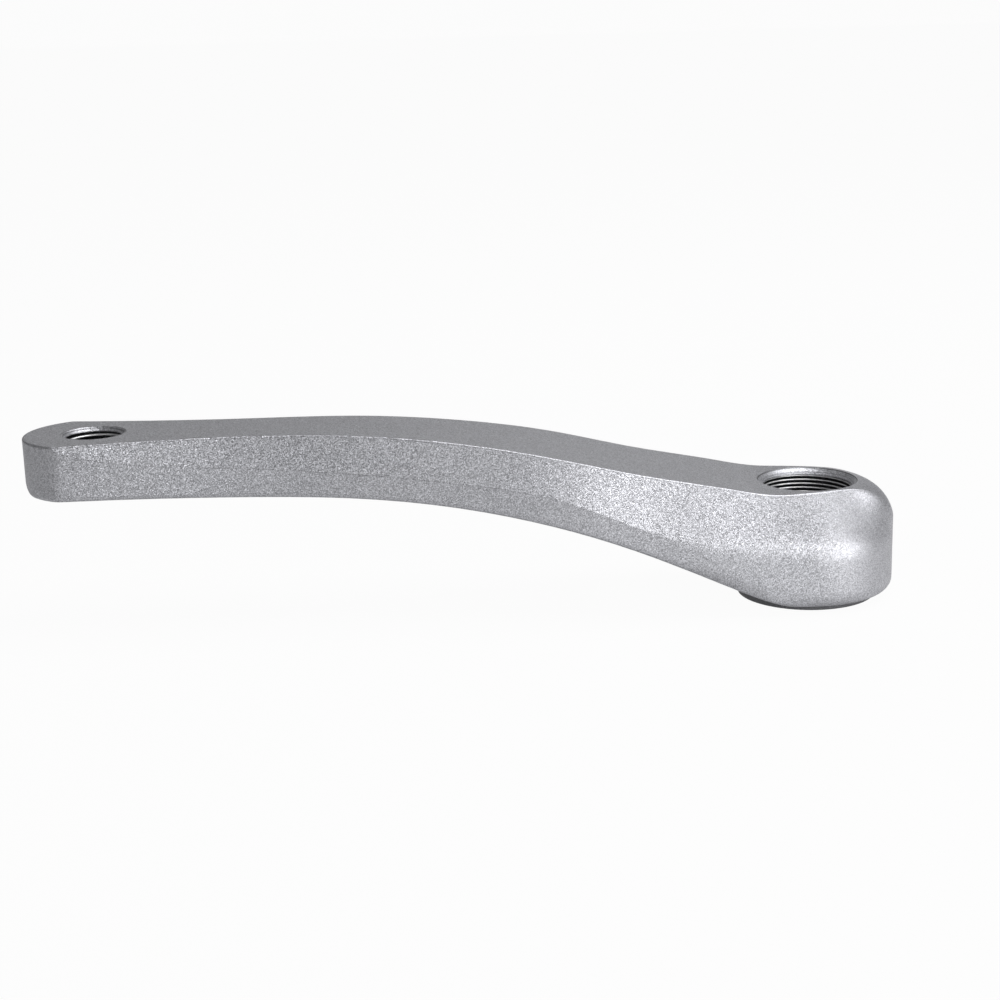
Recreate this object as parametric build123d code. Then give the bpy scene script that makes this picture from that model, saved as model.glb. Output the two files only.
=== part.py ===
from build123d import *
from collections import namedtuple
from math import cos, pi, radians, sin, sqrt, tan
import os

# Bicycle crank arm, forged in one piece, left side, square taper. All sizes are millimetres.
# The origin is on the spindle axis, in the inner face of the collar. +Z is the spindle axis,
# away from the bicycle, and the arm points along -X. The outer face ends in a crisp edge on
# each side. Below each edge a facet leans outwards and meets the upright side wall at a crease.

# Lengths and radii in plan
crank_length = 170.0
boss_radius = 20.6
pedal_end_radius = 16.4
pedal_width = 29.0
pedal_corner_width = 29.6
pedal_corner_radius = 5.0

# Heights above the inner face of the collar
boss_height = 28.0
collar_height = 1.4
boss_crease_height = 15.5
collar_radius = 16.5
collar_draft = 12.0

# Pedal end: how far its outer face stands above the boss's, and how thick it is
bow_height = 17.4
pedal_thickness = 13.2

# Facets: how far in from the side wall their upper edge is at the boss and at the pedal hole,
# their lean along the arm, how the outer face widens past the pedal hole, how far the outer
# face would stay from the boss's end without the crown, and how far the facets run out past
# the boss's wall at that end
boss_facet_width = 4.8
pedal_facet_width = 1.0
facet_lean = 17.5
face_flare = 0.15
boss_face_inset = 1.8
boss_crease_rise = 1.4
facet_runout = 0.6

# Flat part of the outer face and of the underside, from the spindle axis towards the arm
boss_face_flat = 7.0
underside_flat = 1.0

# Rounded ends and edges. The crown that rounds the boss's outer edge is turned about an axis
# set back towards the arm, and starts a clearance outside the facets' upper edges.
crown_setback = 3.9
crown_clearance = 0.25
boss_toe_radius = 3.0
pedal_toe_radius = 5.0
lower_edge_radius = 1.0
outer_edge_radius = 0.4

# Hole for the extractor, threaded M22 x 1, with the square taper socket behind it
extractor_diameter = 22.0
extractor_rim_diameter = 24.0
extractor_depth = 12.0
socket_flats = 12.6
socket_corner_radius = 0.8
socket_taper = 2.0
socket_lead_in = 0.8

# Hole for the pedal, threaded 9/16 inch by 20 turns to the inch
pedal_thread_diameter = 14.28
pedal_rim_diameter = 15.0

# Stations along the arm. share is the place from the spindle axis to the pedal axis, and bow is
# the outer face's rise as a share of bow_height. The others go from 0 where the arm is as at
# its pedal end to 1 where it is as at its boss: depth for its thickness, width for its half
# width, and facet for how far in from the side wall the facet's upper edge is.
Station = namedtuple("Station", "share bow depth width facet")
stations = [
    Station(0.12, 0.109, 0.676, 1.00, 1.00),
    Station(0.24, 0.339, 0.345, 0.88, 0.76),
    Station(0.35, 0.592, 0.196, 0.75, 0.50),
    Station(0.47, 0.810, 0.128, 0.41, 0.47),
    Station(0.62, 0.966, 0.088, 0.03, 0.45),
    Station(0.80, 1.006, 0.061, -0.30, 0.32),
    Station(1.00, 1.000, 0.000, 0.00, 0.00),
]
pedal_station = stations[-1]

# Reach of cutting shapes past the arm, and how far the rounded ends of cutting shapes stand
# clear of the arm's ends, where two surfaces would otherwise only touch
past = 10.0
clear = 0.05


def blend(pedal_size, boss_size, share):
    """A size between the pedal end's and the boss's."""
    return pedal_size + (boss_size - pedal_size) * share


def station_x(station):
    """Place of a station on the X axis."""
    return -station.share * crank_length


def outer_height(station):
    """Height of the outer face at a station."""
    return boss_height + bow_height * station.bow


def under_height(station):
    """Height of the underside at a station."""
    thickness = blend(pedal_thickness, boss_height, station.depth)
    return outer_height(station) - thickness


def wall_y(station):
    """Half width of the whole arm at a station."""
    return blend(pedal_width / 2, boss_radius, station.width)


def face_y(station):
    """Half width of the outer face at a station."""
    return wall_y(station) - blend(pedal_facet_width, boss_facet_width, station.facet)


def closed_face(edges):
    """A face inside edges in their order, with a straight line across each gap."""
    outline = []
    for edge, following in zip(edges, edges[1:] + edges[:1]):
        outline.append(edge)
        if (edge @ 1 - following @ 0).length > clear / 10:
            outline.append(Line(edge @ 1, following @ 0))
    return make_face(Curve(outline))


def slab(outline):
    """A side view carried across the whole width of the arm."""
    reach = boss_radius + past
    return extrude(Plane.XZ.offset(-reach) * outline, amount=2 * reach)


def side_slab():
    """Bowed side view of the arm, longer than the arm at both ends."""
    tip_x = -crank_length - pedal_end_radius - past
    heel_x = boss_radius + past
    outer = Spline(
        (-boss_face_flat, boss_height),
        *[(station_x(s), outer_height(s)) for s in stations],
        (tip_x, outer_height(pedal_station)),
        tangents=[(-1, 0), (-1, 0)],
    )
    under = Spline(
        (tip_x, under_height(pedal_station)),
        *[(station_x(s), under_height(s)) for s in reversed(stations)],
        (-underside_flat, collar_height),
        tangents=[(1, 0), (1, 0)],
    )
    heel = Line((heel_x, collar_height), (heel_x, boss_height))
    return slab(closed_face([outer, under, heel]))


def toe_slab():
    """Side view, open at the boss, with the toe rounded under the pedal end."""
    top = outer_height(pedal_station) + past
    toe_x = -crank_length - pedal_end_radius - clear + pedal_toe_radius
    toe_z = under_height(pedal_station) + pedal_toe_radius
    toe = CenterArc((toe_x, toe_z), pedal_toe_radius, 180, 90)
    roof = Line((boss_radius + past, top), (toe_x - pedal_toe_radius, top))
    floor = Line((toe_x, -past), (boss_radius + past, -past))
    return slab(closed_face([roof, toe, floor]))


def boss_face_y(x):
    """Half width of the outer face over the boss at a place on the X axis, without the crown."""
    ratio = (x + boss_radius) / (2 * boss_radius - boss_face_inset)
    return face_y(stations[0]) * sqrt(max(0, 1 - ratio**2))


def crown_block():
    """Block round the boss's end, rounded over in an arc that opens out towards the arm."""
    reach = boss_radius + clear + crown_setback
    top = outer_height(pedal_station) + past
    middle = boss_face_y(-crown_setback) + crown_clearance
    radius = reach - middle
    crown = CenterArc((middle, boss_height - radius), radius, 0, 90)
    floor = Line((0, -past), (reach, -past))
    roof = Line((middle, top), (0, top))
    turned_end = revolve(Plane.XZ * closed_face([floor, crown, roof]), axis=Axis.Z)
    arm_length = crank_length + pedal_end_radius + past
    open_side = extrude(
        Plane.XY.offset(-past) * Pos(-arm_length / 2, 0) * Rectangle(arm_length, 2 * reach),
        amount=top + past,
    )
    return Pos(-crown_setback, 0, 0) * (turned_end + open_side)


def plan_prism():
    """Plan view carried upwards: round boss, sides with a waist, and a blunt round end."""
    half_width = pedal_corner_width / 2
    corner_x = -crank_length - sqrt(pedal_end_radius**2 - half_width**2)
    side = [(station_x(s), wall_y(s)) for s in stations] + [(corner_x, half_width)]
    other_side = [(x, -y) for x, y in reversed(side)]
    boss = ThreePointArc((0, -boss_radius), (boss_radius, 0), (0, boss_radius))
    tip = ThreePointArc(side[-1], (-crank_length - pedal_end_radius, 0), other_side[0])
    outline = closed_face([
        boss,
        Spline(*side, tangents=[(-1, 0), (-1, 0)]),
        tip,
        Spline(*other_side, tangents=[(1, 0), (1, 0)]),
    ])
    prism = extrude(Plane.XY * outline, amount=outer_height(pedal_station) + past)
    corners = prism.edges().filter_by(Axis.Z).sort_by(Axis.X)[:2]
    return fillet(corners, pedal_corner_radius)


def toe_prism():
    """Upright block as wide as the boss, rounded under its lower edge."""
    arm_end = -crank_length - pedal_end_radius - past
    boss = ThreePointArc((0, -boss_radius), (boss_radius, 0), (0, boss_radius))
    far = Line((arm_end, boss_radius), (arm_end, -boss_radius))
    height = outer_height(pedal_station) + past - collar_height
    prism = extrude(Plane.XY.offset(collar_height) * closed_face([boss, far]), amount=height)
    return fillet(prism.faces().sort_by(Axis.Z)[0].edges(), boss_toe_radius)


def facet_lines():
    """Points of one facet's upper edge and, at the other end of each ruling, of its foot."""
    upper, lower = [], []
    for part in (1.0, 0.75, 0.5, 0.25):
        turn = pi / 2 * part
        x = (boss_radius - boss_face_inset) * sin(turn)
        face = Vector(x, boss_face_y(x), boss_height)
        wall = Vector(sin(turn), cos(turn)) * (boss_radius + facet_runout * part)
        upper.append(face + (wall + Vector(0, 0, boss_height) - face) * part**2)
        lower.append(wall + Vector(0, 0, boss_crease_height))
    for share in (0, 0.5):
        x = -boss_radius * share
        upper.append(Vector(x, boss_face_y(x), boss_height))
        lower.append(Vector(x, boss_radius, boss_crease_height + boss_crease_rise * share**2))
    fall = boss_height - boss_crease_height
    lean = Vector(0, fall * tan(radians(facet_lean)), -fall)
    tip_x = -crank_length - pedal_end_radius - past
    tip_y = face_y(pedal_station) + face_flare * (station_x(pedal_station) - tip_x)
    upper += [Vector(station_x(s), face_y(s), outer_height(s)) for s in stations]
    upper.append(Vector(tip_x, tip_y, outer_height(pedal_station)))
    boss_foot = Vector(station_x(stations[0]), boss_radius, boss_crease_height + boss_crease_rise)
    lower += [boss_foot] + [point + lean for point in upper[-len(stations):]]
    return upper, lower


def facet_surface():
    """Ruled surface of one facet, longer than it is above the outer face and below."""
    upper, lower = facet_lines()
    stretch = 0.3
    above = [high + (high - low) * stretch for high, low in zip(upper, lower)]
    below = [low + (low - high) * stretch for high, low in zip(upper, lower)]
    return Face.make_surface_from_curves(Edge.make_spline(above), Edge.make_spline(below))


def largest(pieces):
    """The largest of some solids."""
    return max(pieces, key=lambda piece: piece.volume)


def outline(faces):
    """The edges all round a group of faces."""
    edges = [edge for face in faces for edge in face.edges()]
    centres = [edge.center() for edge in edges]
    return [
        edge
        for edge, centre in zip(edges, centres)
        if sum((centre - other).length < clear for other in centres) == 1
    ]


def lower_outline(body):
    """The edges all round the underside."""
    return outline([face for face in body.faces() if face.normal_at(face.center()).Z < -0.7])


def outer_outline(body):
    """The edges all round the outer face, up to where the crown starts."""
    outer = [face for face in body.faces() if face.normal_at(face.center()).Z > 0.9]
    return [edge for edge in outline(outer) if edge.center().X < 0]


def forging():
    """The arm before its holes are cut."""
    body = side_slab() & plan_prism()
    body = fillet(lower_outline(body), lower_edge_radius)
    facet = facet_surface()
    for side in (facet, mirror(facet, about=Plane.XZ)):
        body = largest(body.split(side, keep=Keep.ALL))
    body = body & toe_prism() & toe_slab() & crown_block()
    body = body + extrude(Circle(collar_radius), amount=boss_crease_height / 2, taper=-collar_draft)
    return fillet(outer_outline(body), outer_edge_radius)


def turned(points):
    """A round shape about the Z axis from points (radius, height)."""
    return revolve(Plane.XZ * make_face(Polyline(*points, close=True)), axis=Axis.Z)


def extractor_hole():
    """Threaded outer part of the spindle hole, from its countersunk rim down to the seat."""
    radius = extractor_diameter / 2
    rim = extractor_rim_diameter / 2
    return turned([
        (0, boss_height - extractor_depth),
        (radius, boss_height - extractor_depth),
        (radius, boss_height - (rim - radius)),
        (rim + past, boss_height + past),
        (0, boss_height + past),
    ])


def pedal_hole():
    """Threaded hole for the pedal with a countersunk rim on both faces."""
    outer = outer_height(pedal_station)
    under = under_height(pedal_station)
    radius = pedal_thread_diameter / 2
    rim = pedal_rim_diameter / 2
    hole = turned([
        (0, under - past),
        (rim + past, under - past),
        (radius, under + (rim - radius)),
        (radius, outer - (rim - radius)),
        (rim + past, outer + past),
        (0, outer + past),
    ])
    return Pos(-crank_length, 0, 0) * hole


def socket_outline(height):
    """Cross-section of the square socket at a height, wider towards the bicycle."""
    depth = boss_height - extractor_depth - height
    flats = socket_flats + 2 * depth * tan(radians(socket_taper))
    return Plane.XY.offset(height) * RectangleRounded(flats, flats, socket_corner_radius)


def spindle_socket():
    """Square hole that narrows away from the bicycle, with a lead-in at the collar's face."""
    top = boss_height - extractor_depth + past
    taper = loft([socket_outline(-past), socket_outline(top)], ruled=True)
    mouth = socket_outline(0)
    lead_in = extrude(offset(mouth, socket_lead_in), amount=socket_lead_in, taper=45)
    return taper + lead_in


body = forging() - extractor_hole() - pedal_hole() - spindle_socket()
os.makedirs("parts", exist_ok=True)
export_step(body, "parts/crank_arm.step")
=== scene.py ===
"""Looks of a forged bicycle crank arm: blasted silver finish, bare threads, soft studio light."""

from math import cos, pi, sin, tau

import bpy
import numpy as np
from mathutils import Matrix, Vector


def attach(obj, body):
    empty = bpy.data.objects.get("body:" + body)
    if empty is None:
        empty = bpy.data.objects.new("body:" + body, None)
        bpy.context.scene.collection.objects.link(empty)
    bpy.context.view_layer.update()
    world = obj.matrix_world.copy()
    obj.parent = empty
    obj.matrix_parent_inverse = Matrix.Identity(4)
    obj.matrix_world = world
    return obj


MM = 0.001

# The arm, in millimetres: X runs along it from the spindle's axis, Z up from the collar's face
SPINDLE_X = 0.0
PEDAL_X = -170.0
BOSS_TOP = 28.0
COLLAR_HEIGHT = 1.4
PEDAL_UNDERSIDE = 32.2
PEDAL_TOP = 45.4

# The threaded holes, in millimetres: wall and rim are radii, and the seat is a height
EXTRACTOR_WALL = 11.0
EXTRACTOR_RIM = 12.0
EXTRACTOR_SEAT = 16.0
PEDAL_WALL = 7.14
PEDAL_RIM = 7.5

# A thread's hand is 1 for right and -1 for left, and its start is in turns about the axis
THREADS = {
    "extractor": {
        "axis_x": SPINDLE_X,
        "wall": EXTRACTOR_WALL,
        "rim": EXTRACTOR_RIM,
        "bottom": EXTRACTOR_SEAT,
        "top": BOSS_TOP,
        "open_below": False,
        "pitch": 1.0,
        "hand": 1,
        "start": 0.0,
    },
    "pedal": {
        "axis_x": PEDAL_X,
        "wall": PEDAL_WALL,
        "rim": PEDAL_RIM,
        "bottom": PEDAL_UNDERSIDE,
        "top": PEDAL_TOP,
        "open_below": True,
        "pitch": 1.27,
        "hand": -1,
        "start": 0.55,
    },
}

# Thread ridge, as shares of the pitch: its height, half its foot and the plain wall at an open end
RIDGE_HEIGHT = 0.54
HALF_FOOT = 0.43
PLAIN_END = 0.3
# Thread ridge, in millimetres: its foot inside the wall, and its stand off the wall and the rim
FOOT_SUNK = 0.12
WALL_GAP = 0.004
RIM_GAP = 0.01
# Thread ridge: the turns that it takes to rise at each end, and the points of its grid
RISE_TURNS = 0.15
STEPS_A_TURN = 120
PROFILE_POINTS = 11

# Ring under the countersunk rim, in millimetres
RING_SUNK = 0.1
RING_DROP = 0.01
RING_FOOT = 0.25
RING_STEPS = 180

# Colours of the metal
DARK_SILVER = (0.34, 0.342, 0.364, 1)
LIGHT_SILVER = (0.74, 0.744, 0.785, 1)
CLOUD_GREY = (0.42, 0.42, 0.43, 1)
# Painted shade on the collar, where it stands by the floor
COLLAR_SHADE_GREY = (0.10, 0.10, 0.105, 1)
# Painted shade in the thin line inside the extractor rim and along the creases
PAINTED_SHADE_GREY = (0.06, 0.06, 0.06, 1)
BARE_METAL = (0.70, 0.70, 0.71, 1)
# Painted shade at the threads' roots
ROOT_SHADE_METAL = (0.03, 0.03, 0.033, 1)
DULL_CREST = (0.80, 0.80, 0.81, 1)
BRIGHT_CREST = (0.94, 0.94, 0.95, 1)

# Blasted grain: size of a cell, and where along X and how far the tilt of the cells changes
GRAIN_CELL = 0.18 * MM
MIDDLE_TONE = (0.5, 0.5, 0.5)
TILT_SPAN = (-130.0 * MM, -40.0 * MM)
TILT_CHANGE = (0.36, 0.17)

# Large soft clouds in the finish, which change its share of grey and its roughness
CLOUD_SCALE = 55.0
CLOUD_DETAIL = 3.0
CLOUD_SPAN = (0.35, 0.65)
CLOUD_CHANGE = (0.0, 0.10)
SATIN_SPAN = (0.3, 0.7)
SATIN_CHANGE = (0.41, 0.46)
BARE_ROUGHNESS = 0.26
BLASTED_METALLIC = 0.85

# Fine marks on a cut thread, and the part of the ridge's height over which painted shade darkens it
MARK_SCALE = 900.0
MARK_DETAIL = 2.0
MARK_SPAN = (0.35, 0.65)
CUT_SPAN = (0.3, 0.7)
CUT_CHANGE = (0.34, 0.42)
CUT_METALLIC = 0.8
ROOT_SHADE_SPAN = (0.28, 0.58)

# Painted shade: shares of the darker colour on the collar, in a thin line just inside the extractor
# hole's rim, and along the creases
COLLAR_SHADE_SHARE = 0.75
RIM_SHADOW_SHARE = 0.7
CREASE_SHADE_SHARE = 0.45
# Painted shadow line just inside the extractor hole's rim: distance inside the rim, half width and
# depth
RIM_SHADOW_INSIDE = 0.13 * MM
RIM_SHADOW_HALF_WIDTH = 0.12 * MM
RIM_SHADOW_DEPTH = 0.35 * MM
# Margin at a flat face
FACE_EDGE = 0.02 * MM

# Soft crease: where along X it widens, how far it reaches, and the room that it leaves
BOSS_SPAN = (-50.0 * MM, -12.0 * MM)
PEDAL_SPAN = (-178.0 * MM, -181.0 * MM)
BOSS_REACH = 6.5 * MM
PEDAL_REACH = 3.5 * MM
LEAST_REACH = 0.4 * MM
ROOM_SHARE = 0.85
UNDERSIDE_EDGE = 1.0 * MM
BEVEL_SAMPLES = 8

# Painted shade line along a crease: its reach, the bend that starts it and makes it full, and where
# it fades
LINE_REACH = 0.5 * MM
LINE_BEND = (0.0005, 0.008)
LINE_SPAN = (-30.0 * MM, -80.0 * MM)

# Slack of the masks in the holes, and where the wall ends at a rim, in millimetres
ROOT_SLACK = 0.05
EXTRACTOR_ROOT_END = 1.0
PEDAL_ROOT_END = 0.36
HOLE_SLACK = 0.02
RIM_SLACK = 0.06

# Floor: level and reach in metres, and how white it looks to the camera and in the metal
FLOOR_LEVEL = -0.1 * MM
FLOOR_REACH = 30.0
FLOOR_GREY = (0.58, 0.58, 0.58, 1)
FLOOR_ROUGHNESS = 0.9
FLOOR_WHITE = 0.96
MIRRORED_SHARE = 0.25

# Surroundings: white behind the arm at the horizon, dim elsewhere
HORIZON_WHITE = (0.97, 0.97, 0.97, 1)
HORIZON_DIM = (0.18, 0.18, 0.18, 1)
SKY_DIM = (0.16, 0.16, 0.16, 1)
BEHIND_SPAN = (0.925, 0.955)
ABOVE_SPAN = (0.04, 0.28)

# Lamps: place, the point that each faces, width and height in metres, and power in watts
LAMPS = {
    "key_lamp": ((0.48, -0.67, 0.15), (-0.02, 0, 0.02), (0.75, 0.28), 3.5),
    "side_lamp": ((0.62, -0.50, 0.30), (0.0, 0, 0.02), (0.22, 0.36), 0.85),
    "fill_lamp": ((-0.26, -1.0, 0.47), (-0.10, 0, 0.02), (0.14, 0.14), 0.44),
    "top_lamp": ((0.27, 0.0, 0.92), (-0.03, 0.05, 0.0), (0.8, 0.8), 7.3),
}

# Camera: turns in radians, distance and target in millimetres, focal length in picture widths
CAMERA_YAW = -0.0390
CAMERA_PITCH = 0.2520
CAMERA_ROLL = -0.0264
CAMERA_DISTANCE = 441.7
CAMERA_TARGET = np.array([-74.42, 0.0, 25.45])
FOCAL_SHARE = 1.8359
SENSOR_WIDTH = 36.0
CLIP_START = 0.01


# Shader nodes


def add_node(tree, kind, **settings):
    """A new node with its properties set."""
    node = tree.nodes.new(kind)
    for name, value in settings.items():
        setattr(node, name, value)
    return node


def join(tree, value, socket):
    """Links an output to a socket, or sets the socket to a constant."""
    if isinstance(value, bpy.types.NodeSocket):
        tree.links.new(value, socket)
    else:
        socket.default_value = value


def number_math(tree, operation, *inputs):
    """Output of a Math node. An input is a number or another node's output."""
    node = add_node(tree, "ShaderNodeMath", operation=operation)
    for socket, value in zip(node.inputs, inputs):
        join(tree, value, socket)
    return node.outputs[0]


def vector_math(tree, operation, first, second=None, scale=None):
    """Outputs of a Vector Math node of one or two vectors, or of a vector and a scale."""
    node = add_node(tree, "ShaderNodeVectorMath", operation=operation)
    join(tree, first, node.inputs[0])
    if second is not None:
        join(tree, second, node.inputs[1])
    if scale is not None:
        join(tree, scale, node.inputs["Scale"])
    return node.outputs


def ramp(tree, value, span, change=(0.0, 1.0)):
    """Smooth change between two numbers while value goes over a span."""
    node = add_node(tree, "ShaderNodeMapRange", interpolation_type="SMOOTHSTEP")
    names = ("From Min", "From Max", "To Min", "To Max")
    for name, number in zip(names, (*span, *change)):
        node.inputs[name].default_value = number
    join(tree, value, node.inputs["Value"])
    return node.outputs[0]


def mix(tree, kind, share, first, second):
    """Mix of two floats, colours or vectors by a share. The kind is Float, Color or Vector."""
    data_type = "RGBA" if kind == "Color" else kind.upper()
    node = add_node(tree, "ShaderNodeMix", data_type=data_type)
    sockets = {socket.identifier: socket for socket in node.inputs}
    join(tree, share, sockets["Factor_Float"])
    join(tree, first, sockets["A_" + kind])
    join(tree, second, sockets["B_" + kind])
    results = {socket.identifier: socket for socket in node.outputs}
    return results["Result_" + kind]


def noise(tree, position, scale, detail):
    """Output of a Noise texture at a position in metres."""
    node = add_node(tree, "ShaderNodeTexNoise")
    node.inputs["Scale"].default_value = scale
    node.inputs["Detail"].default_value = detail
    tree.links.new(position, node.inputs["Vector"])
    return node.outputs["Fac"]


def coordinates(tree, position):
    """The X, Y and Z of a position or direction."""
    parts = add_node(tree, "ShaderNodeSeparateXYZ")
    tree.links.new(position, parts.inputs[0])
    return parts.outputs


def place_group(tree, group, **values):
    """The group placed in a material, with its inputs set."""
    node = add_node(tree, "ShaderNodeGroup", node_tree=group)
    for name, value in values.items():
        join(tree, value, node.inputs[name.replace("_", " ")])
    return node.outputs


def flake_grain_group():
    """Blasted grain: each cell of a fine cell pattern has its own tone and tilts its own way."""
    tree = bpy.data.node_groups.new("flake_grain", "ShaderNodeTree")
    sockets = (
        ("Position", "INPUT", "NodeSocketVector"),
        ("Normal", "INPUT", "NodeSocketVector"),
        ("Cell Size", "INPUT", "NodeSocketFloat"),
        ("Tilt", "INPUT", "NodeSocketFloat"),
        ("Tone", "OUTPUT", "NodeSocketFloat"),
        ("Normal", "OUTPUT", "NodeSocketVector"),
    )
    for name, side, kind in sockets:
        tree.interface.new_socket(name, in_out=side, socket_type=kind)
    given = add_node(tree, "NodeGroupInput").outputs
    result = add_node(tree, "NodeGroupOutput").inputs
    cells = add_node(tree, "ShaderNodeTexVoronoi")
    tree.links.new(given["Position"], cells.inputs["Vector"])
    tree.links.new(number_math(tree, "DIVIDE", 1.0, given["Cell Size"]), cells.inputs["Scale"])
    own_way = vector_math(tree, "SUBTRACT", cells.outputs["Color"], MIDDLE_TONE)["Vector"]
    tilted = vector_math(tree, "SCALE", own_way, scale=given["Tilt"])["Vector"]
    leaning = vector_math(tree, "ADD", given["Normal"], tilted)["Vector"]
    tree.links.new(vector_math(tree, "NORMALIZE", leaning)["Vector"], result["Normal"])
    tone = add_node(tree, "ShaderNodeSeparateColor")
    tree.links.new(cells.outputs["Color"], tone.inputs[0])
    tree.links.new(tone.outputs[0], result["Tone"])
    return tree


# Finishes


def new_material(name):
    """A material with one Principled BSDF, and its tree and shader."""
    material = bpy.data.materials.new(name)
    material.use_nodes = True
    tree = material.node_tree
    return material, tree, tree.nodes["Principled BSDF"]


def axis_distance(tree, place, axis_x):
    """Distance in metres from an upright axis at a place along X."""
    across = number_math(tree, "SUBTRACT", place["X"], axis_x * MM)
    across_square = number_math(tree, "POWER", across, 2.0)
    side_square = number_math(tree, "POWER", place["Y"], 2.0)
    return number_math(tree, "SQRT", number_math(tree, "ADD", across_square, side_square))


def crease_reach(tree, place, low, high, most):
    """Rounding radius that stays clear of the edges at the heights low and high."""
    below = number_math(tree, "SUBTRACT", high, place["Z"])
    above = number_math(tree, "SUBTRACT", place["Z"], low)
    room = number_math(tree, "MULTIPLY", number_math(tree, "MINIMUM", below, above), ROOM_SHARE)
    return number_math(tree, "MINIMUM", number_math(tree, "MAXIMUM", room, LEAST_REACH), most)


def soft_crease(tree, place):
    """Normal rounded over the crease, widely on the boss and by a hair along the arm."""
    on_boss = crease_reach(tree, place, UNDERSIDE_EDGE, BOSS_TOP * MM, BOSS_REACH)
    pedal_low = PEDAL_UNDERSIDE * MM + UNDERSIDE_EDGE
    on_pedal = crease_reach(tree, place, pedal_low, PEDAL_TOP * MM, PEDAL_REACH)
    radius = mix(tree, "Float", ramp(tree, place["X"], BOSS_SPAN), LEAST_REACH, on_boss)
    radius = mix(tree, "Float", ramp(tree, place["X"], PEDAL_SPAN), radius, on_pedal)
    rounding = add_node(tree, "ShaderNodeBevel", samples=BEVEL_SAMPLES)
    tree.links.new(radius, rounding.inputs["Radius"])
    return rounding.outputs["Normal"]


def crease_shade_line(tree, place):
    """1 in a thin line of painted shade along the arm's creases, fading out towards the boss."""
    rounding = add_node(tree, "ShaderNodeBevel", samples=BEVEL_SAMPLES)
    rounding.inputs["Radius"].default_value = LINE_REACH
    surface = add_node(tree, "ShaderNodeNewGeometry").outputs["Normal"]
    likeness = vector_math(tree, "DOT_PRODUCT", rounding.outputs["Normal"], surface)["Value"]
    line = ramp(tree, number_math(tree, "SUBTRACT", 1.0, likeness), LINE_BEND)
    return number_math(tree, "MULTIPLY", line, ramp(tree, place["X"], LINE_SPAN))


def thread_root(tree, place, distance, wall, bottom, top):
    """1 on the wall of a threaded hole and 0 elsewhere."""
    off_wall = number_math(tree, "SUBTRACT", distance, wall * MM)
    off_wall = number_math(tree, "ABSOLUTE", off_wall)
    on_wall = number_math(tree, "LESS_THAN", off_wall, ROOT_SLACK * MM)
    off_middle = number_math(tree, "SUBTRACT", place["Z"], (bottom + top) / 2 * MM)
    off_middle = number_math(tree, "ABSOLUTE", off_middle)
    half = ((top - bottom) / 2 - ROOT_SLACK) * MM
    between = number_math(tree, "LESS_THAN", off_middle, half)
    return number_math(tree, "MULTIPLY", on_wall, between)


def in_hole(tree, place, distance, wall, middle, slant):
    """1 in a hole up to its countersunk rim, whose height less its radius is the slant."""
    height = number_math(tree, "ABSOLUTE", number_math(tree, "SUBTRACT", place["Z"], middle * MM))
    slope = number_math(tree, "SUBTRACT", height, distance)
    under_rim = number_math(tree, "LESS_THAN", slope, (slant - RIM_SLACK) * MM)
    within = number_math(tree, "LESS_THAN", distance, (wall + HOLE_SLACK) * MM)
    return number_math(tree, "MULTIPLY", within, under_rim)


def bare_places(tree, place, from_spindle, from_pedal):
    """Mask of the bare metal in both holes, and mask of the threads' roots, which get painted
    shade.
    """
    slant = BOSS_TOP - EXTRACTOR_RIM
    extractor = in_hole(tree, place, from_spindle, EXTRACTOR_WALL, 0.0, slant)
    above_face = number_math(tree, "GREATER_THAN", place["Z"], FACE_EDGE)
    extractor = number_math(tree, "MULTIPLY", extractor, above_face)
    middle = (PEDAL_UNDERSIDE + PEDAL_TOP) / 2
    pedal = in_hole(tree, place, from_pedal, PEDAL_WALL, middle, PEDAL_TOP - middle - PEDAL_RIM)
    bare = number_math(tree, "MAXIMUM", extractor, pedal)
    extractor_root = thread_root(
        tree, place, from_spindle, EXTRACTOR_WALL,
        EXTRACTOR_SEAT, BOSS_TOP - EXTRACTOR_ROOT_END,
    )
    pedal_root = thread_root(
        tree, place, from_pedal, PEDAL_WALL,
        PEDAL_UNDERSIDE + PEDAL_ROOT_END, PEDAL_TOP - PEDAL_ROOT_END,
    )
    return bare, number_math(tree, "MAXIMUM", extractor_root, pedal_root)


def rim_shadow_line(tree, place, from_spindle):
    """1 on a thin line of painted shadow just inside the extractor hole's rim."""
    edge = EXTRACTOR_RIM * MM - RIM_SHADOW_INSIDE
    off_edge = number_math(tree, "ABSOLUTE", number_math(tree, "SUBTRACT", edge, from_spindle))
    at_edge = number_math(tree, "LESS_THAN", off_edge, RIM_SHADOW_HALF_WIDTH)
    at_top = number_math(tree, "GREATER_THAN", place["Z"], BOSS_TOP * MM - RIM_SHADOW_DEPTH)
    return number_math(tree, "MULTIPLY", at_edge, at_top)


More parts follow.
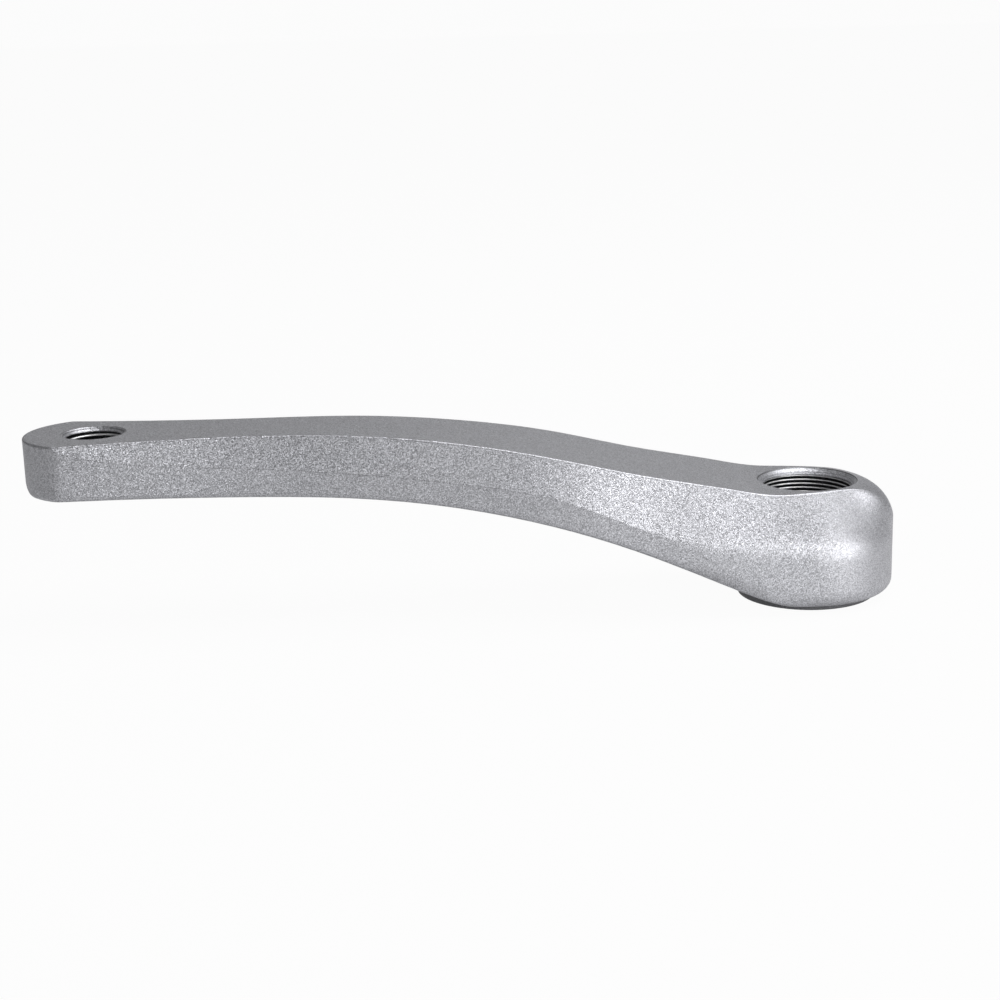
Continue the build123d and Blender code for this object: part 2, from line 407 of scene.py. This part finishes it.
def blasted_alloy(grain):
    """Blasted silver finish, bare in the holes, with painted shade at the threads' roots."""
    material, tree, shader = new_material("blasted_alloy")
    position = add_node(tree, "ShaderNodeTexCoord").outputs["Object"]
    place = coordinates(tree, position)
    from_spindle = axis_distance(tree, place, SPINDLE_X)
    from_pedal = axis_distance(tree, place, PEDAL_X)
    bare, root = bare_places(tree, place, from_spindle, from_pedal)
    fine = place_group(
        tree, grain,
        Position=position,
        Normal=soft_crease(tree, place),
        Cell_Size=GRAIN_CELL,
        Tilt=ramp(tree, place["X"], TILT_SPAN, TILT_CHANGE),
    )

    cloud = noise(tree, position, CLOUD_SCALE, CLOUD_DETAIL)
    colour = mix(tree, "Color", fine["Tone"], DARK_SILVER, LIGHT_SILVER)
    colour = mix(tree, "Color", ramp(tree, cloud, CLOUD_SPAN, CLOUD_CHANGE), colour, CLOUD_GREY)
    # Painted shade: the collar by the floor, a thin line inside the extractor hole's rim and the
    # creases are darkened
    collar = number_math(tree, "LESS_THAN", place["Z"], COLLAR_HEIGHT * MM - FACE_EDGE)
    painted_shades = (
        (collar, COLLAR_SHADE_SHARE, COLLAR_SHADE_GREY),
        (rim_shadow_line(tree, place, from_spindle), RIM_SHADOW_SHARE, PAINTED_SHADE_GREY),
        (crease_shade_line(tree, place), CREASE_SHADE_SHARE, PAINTED_SHADE_GREY),
    )
    for mask, share, grey in painted_shades:
        colour = mix(tree, "Color", number_math(tree, "MULTIPLY", mask, share), colour, grey)
    # Painted shade: the wall behind the threads is dark
    metal = mix(tree, "Color", root, BARE_METAL, ROOT_SHADE_METAL)
    tree.links.new(mix(tree, "Color", bare, colour, metal), shader.inputs["Base Color"])

    satin = ramp(tree, cloud, SATIN_SPAN, SATIN_CHANGE)
    roughness = mix(tree, "Float", bare, satin, BARE_ROUGHNESS)
    tree.links.new(roughness, shader.inputs["Roughness"])
    surface = add_node(tree, "ShaderNodeNewGeometry").outputs["Normal"]
    normal = mix(tree, "Vector", bare, fine["Normal"], surface)
    tree.links.new(normal, shader.inputs["Normal"])
    shader.inputs["Metallic"].default_value = BLASTED_METALLIC
    return material


def cut_alloy(name, axis_x, crest, wall):
    """Freshly cut metal of a thread, bright at the crests, with painted shade darkening it down at
    the roots.
    """
    material, tree, shader = new_material(name)
    position = add_node(tree, "ShaderNodeTexCoord").outputs["Object"]
    distance = axis_distance(tree, coordinates(tree, position), axis_x)
    span = [(crest + (wall - crest) * share) * MM for share in ROOT_SHADE_SPAN]
    marks = noise(tree, position, MARK_SCALE, MARK_DETAIL)
    bright = mix(tree, "Color", ramp(tree, marks, MARK_SPAN), DULL_CREST, BRIGHT_CREST)
    # Painted shade: darker towards the thread's roots
    colour = mix(tree, "Color", ramp(tree, distance, span), bright, ROOT_SHADE_METAL)
    tree.links.new(colour, shader.inputs["Base Color"])
    tree.links.new(ramp(tree, marks, CUT_SPAN, CUT_CHANGE), shader.inputs["Roughness"])
    shader.inputs["Metallic"].default_value = CUT_METALLIC
    return material


# Thread pieces


def shell_faces(index):
    """Four-sided faces between neighbouring rows of a grid of point numbers, closed around."""
    first = index[:-1]
    second = index[1:]
    corners = (first, np.roll(first, -1, axis=1), np.roll(second, -1, axis=1), second)
    return np.stack(corners, axis=-1).reshape(-1, 4).tolist()


def closed_tube(rings):
    """Points and faces of a tube of rings (steps, points, 3), with a fan over each end.

    Each point of a ring joins the next one and the same two of the next ring. The middle of
    the first and of the last ring, the mean of its points, joins every edge of that ring.
    """
    steps, around = rings.shape[:2]
    index = np.arange(steps * around).reshape(steps, around)
    middles = np.stack([rings[0].mean(axis=0), rings[-1].mean(axis=0)])
    points = np.concatenate([rings.reshape(-1, 3), middles])
    first_middle = np.full(around, steps * around)
    last_middle = first_middle + 1
    first_fan = np.stack([first_middle, np.roll(index[0], -1), index[0]], axis=-1)
    last_fan = np.stack([last_middle, index[-1], np.roll(index[-1], -1)], axis=-1)
    return points, shell_faces(index) + first_fan.tolist() + last_fan.tolist()


def add_piece(name, points, faces):
    """An object of the given points in millimetres and faces, at the origin."""
    mesh = bpy.data.meshes.new(name)
    mesh.from_pydata((points * MM).tolist(), [], faces)
    piece = bpy.data.objects.new(name, mesh)
    bpy.context.scene.collection.objects.link(piece)
    return piece


def thread_ridge(name, axis_x, wall, rim, bottom, top, open_below, pitch, hand, start):
    """Ridge of an internal thread.

    The profile is a rounded ridge that stands on the wall and points at the axis: at t times
    half the foot above its middle it is height * (1 + cos(pi t)) / 2 high, for t from -1 to 1.
    The foot is as wide as the pitch less a narrow groove. The profile is carried along a
    helix that climbs one pitch a turn. The countersunk rim cuts it off: no point comes
    nearer to the axis than rim - (top - level), and the same below where the hole is open.
    At each end the ridge rises out of the wall as 3 s^2 - 2 s^3, for s from 0 to 1.
    """
    height = RIDGE_HEIGHT * pitch
    foot = HALF_FOOT * pitch
    margin = rim - wall + PLAIN_END * pitch
    low = bottom + (margin if open_below else pitch)
    turns = (top - margin - low) / pitch
    angle = np.linspace(0, turns * tau, int(turns * STEPS_A_TURN))
    rise = np.clip(np.minimum(angle, angle[-1] - angle) / (RISE_TURNS * tau), 0, 1)
    rise = (rise * rise * (3 - 2 * rise))[:, None]
    across = np.linspace(-1, 1, PROFILE_POINTS)
    inward = height * (1 + np.cos(pi * across)) / 2
    ridge = np.where(inward > 0, -inward * rise - WALL_GAP, 0.0)
    sunk = np.full((len(angle), 1), FOOT_SUNK)
    stand = np.concatenate([sunk, ridge, sunk], axis=1)
    up = np.concatenate([[-foot], foot * across, [foot]])
    level = (low + pitch * angle / tau)[:, None] + up
    cone = rim - (top - level) + RIM_GAP
    if open_below:
        cone = np.maximum(cone, rim - (level - bottom) + RIM_GAP)
    radius = np.maximum(wall + stand, cone)
    turn = hand * angle[:, None] + start * tau
    rings = np.stack([axis_x + radius * np.cos(turn), radius * np.sin(turn), level], axis=-1)
    if hand < 0:
        rings = rings[:, ::-1]
    piece = add_piece(name, *closed_tube(rings))
    piece.data.shade_smooth()
    return piece


def rim_ring(name, axis_x, wall, crest, level):
    """Ring that carries the countersunk rim on down to the thread's crest.

    It is the triangle (wall, level), (crest, level - (wall - crest)), (wall, the same less
    its foot) turned about the hole's axis, sunk a little into the wall.
    """
    drop = wall - crest
    radii = np.array([wall + RING_SUNK, wall, crest, wall + RING_SUNK])
    start = level - RING_DROP
    levels = np.array([start, start, level - drop, level - drop - RING_FOOT])
    angle = np.linspace(0, tau, RING_STEPS, endpoint=False)[:, None]
    rings = np.stack([
        axis_x + radii * np.cos(angle),
        radii * np.sin(angle),
        levels + 0 * angle,
    ], axis=-1)
    index = np.arange(rings.shape[0] * rings.shape[1]).reshape(rings.shape[:2])
    around = np.concatenate([index, index[:1]])
    return add_piece(name, rings.reshape(-1, 3), shell_faces(around))


def finish_piece(piece, material):
    """Gives a piece its material, slot and body."""
    piece.data.materials.append(material)
    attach(piece, "root")


# Studio


def lamp(name, place, aim, size, power):
    """Soft rectangular lamp at a place, facing a point."""
    data = bpy.data.lights.new(name, "AREA")
    data.shape = "RECTANGLE"
    data.size, data.size_y = size
    data.energy = power
    turn = (Vector(aim) - Vector(place)).to_track_quat("-Z", "Y")
    lamp_object = bpy.data.objects.new(name, data)
    lamp_object.matrix_world = Matrix.Translation(place) @ turn.to_matrix().to_4x4()
    bpy.context.scene.collection.objects.link(lamp_object)


def pale_floor():
    """Pale floor that the camera and the metal see as nearly white, with a faint shadow."""
    corners = [
        (-FLOOR_REACH, -FLOOR_REACH, FLOOR_LEVEL),
        (FLOOR_REACH, -FLOOR_REACH, FLOOR_LEVEL),
        (FLOOR_REACH, FLOOR_REACH, FLOOR_LEVEL),
        (-FLOOR_REACH, FLOOR_REACH, FLOOR_LEVEL),
    ]
    mesh = bpy.data.meshes.new("floor")
    mesh.from_pydata(corners, [], [(0, 1, 2, 3)])
    piece = bpy.data.objects.new("floor", mesh)
    bpy.context.scene.collection.objects.link(piece)
    material, tree, shader = new_material("pale_floor")
    shader.inputs["Base Color"].default_value = FLOOR_GREY
    shader.inputs["Roughness"].default_value = FLOOR_ROUGHNESS
    ray = add_node(tree, "ShaderNodeLightPath").outputs
    mirrored = number_math(tree, "MULTIPLY", ray["Is Glossy Ray"], MIRRORED_SHARE)
    seen = number_math(tree, "MAXIMUM", ray["Is Camera Ray"], mirrored)
    seen = number_math(tree, "MAXIMUM", seen, ray["Is Transmission Ray"])
    glow = add_node(tree, "ShaderNodeEmission")
    blend = add_node(tree, "ShaderNodeMixShader")
    tree.links.new(number_math(tree, "MULTIPLY", seen, FLOOR_WHITE), blend.inputs[0])
    tree.links.new(shader.outputs[0], blend.inputs[1])
    tree.links.new(glow.outputs[0], blend.inputs[2])
    tree.links.new(blend.outputs[0], tree.nodes["Material Output"].inputs["Surface"])
    mesh.materials.append(material)


def surroundings():
    """World that is white behind the arm at the horizon, and dim at the sides and above."""
    world = bpy.data.worlds.new("studio")
    bpy.context.scene.world = world
    world.use_nodes = True
    tree = world.node_tree
    direction = add_node(tree, "ShaderNodeTexCoord").outputs["Generated"]
    parts = coordinates(tree, direction)
    behind = ramp(tree, parts["Y"], BEHIND_SPAN)
    horizon = mix(tree, "Color", behind, HORIZON_DIM, HORIZON_WHITE)
    sky = mix(tree, "Color", ramp(tree, parts["Z"], ABOVE_SPAN), horizon, SKY_DIM)
    tree.links.new(sky, tree.nodes["Background"].inputs["Color"])


def camera():
    """Camera at the photograph's viewing angle, from its fitted place and turn."""
    yaw = CAMERA_YAW
    pitch = CAMERA_PITCH
    roll = CAMERA_ROLL
    back = np.array([sin(yaw) * cos(pitch), -cos(yaw) * cos(pitch), sin(pitch)])
    right = np.array([cos(yaw), sin(yaw), 0.0])
    up = np.cross(right, -back)
    turned_right = right * cos(roll) + up * sin(roll)
    turned_up = -right * sin(roll) + up * cos(roll)
    matrix = np.eye(4)
    matrix[:3, :3] = np.stack([turned_right, turned_up, back], axis=1)
    matrix[:3, 3] = (CAMERA_TARGET + back * CAMERA_DISTANCE) * MM
    data = bpy.data.cameras.new("camera")
    data.sensor_width = SENSOR_WIDTH
    data.lens = FOCAL_SHARE * SENSOR_WIDTH
    data.clip_start = CLIP_START
    view = bpy.data.objects.new("camera", data)
    view.matrix_world = Matrix(matrix.tolist())
    bpy.context.scene.collection.objects.link(view)
    bpy.context.scene.camera = view


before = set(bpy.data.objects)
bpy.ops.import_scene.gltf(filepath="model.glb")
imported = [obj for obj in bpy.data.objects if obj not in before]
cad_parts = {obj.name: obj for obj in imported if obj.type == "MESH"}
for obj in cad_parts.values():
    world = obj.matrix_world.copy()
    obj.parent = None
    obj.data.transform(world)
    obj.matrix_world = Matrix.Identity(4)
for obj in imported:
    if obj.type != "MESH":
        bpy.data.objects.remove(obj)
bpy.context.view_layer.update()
bpy.context.scene.view_settings.view_transform = "Standard"

silver = blasted_alloy(flake_grain_group())
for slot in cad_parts["crank_arm"].material_slots:
    slot.material = silver

for name, thread in THREADS.items():
    axis_x = thread["axis_x"]
    wall = thread["wall"]
    crest = wall - RIDGE_HEIGHT * thread["pitch"]
    rim_level = thread["top"] - (thread["rim"] - wall)
    metal = cut_alloy(name + "_alloy", axis_x, crest, wall)
    ridge = thread_ridge(name + "_thread", **thread)
    ring = rim_ring(name + "_rim", axis_x, wall, crest, rim_level)
    finish_piece(ridge, metal)
    finish_piece(ring, silver)

camera()
pale_floor()
surroundings()
for name, (place, aim, size, power) in LAMPS.items():
    lamp(name, place, aim, size, power)
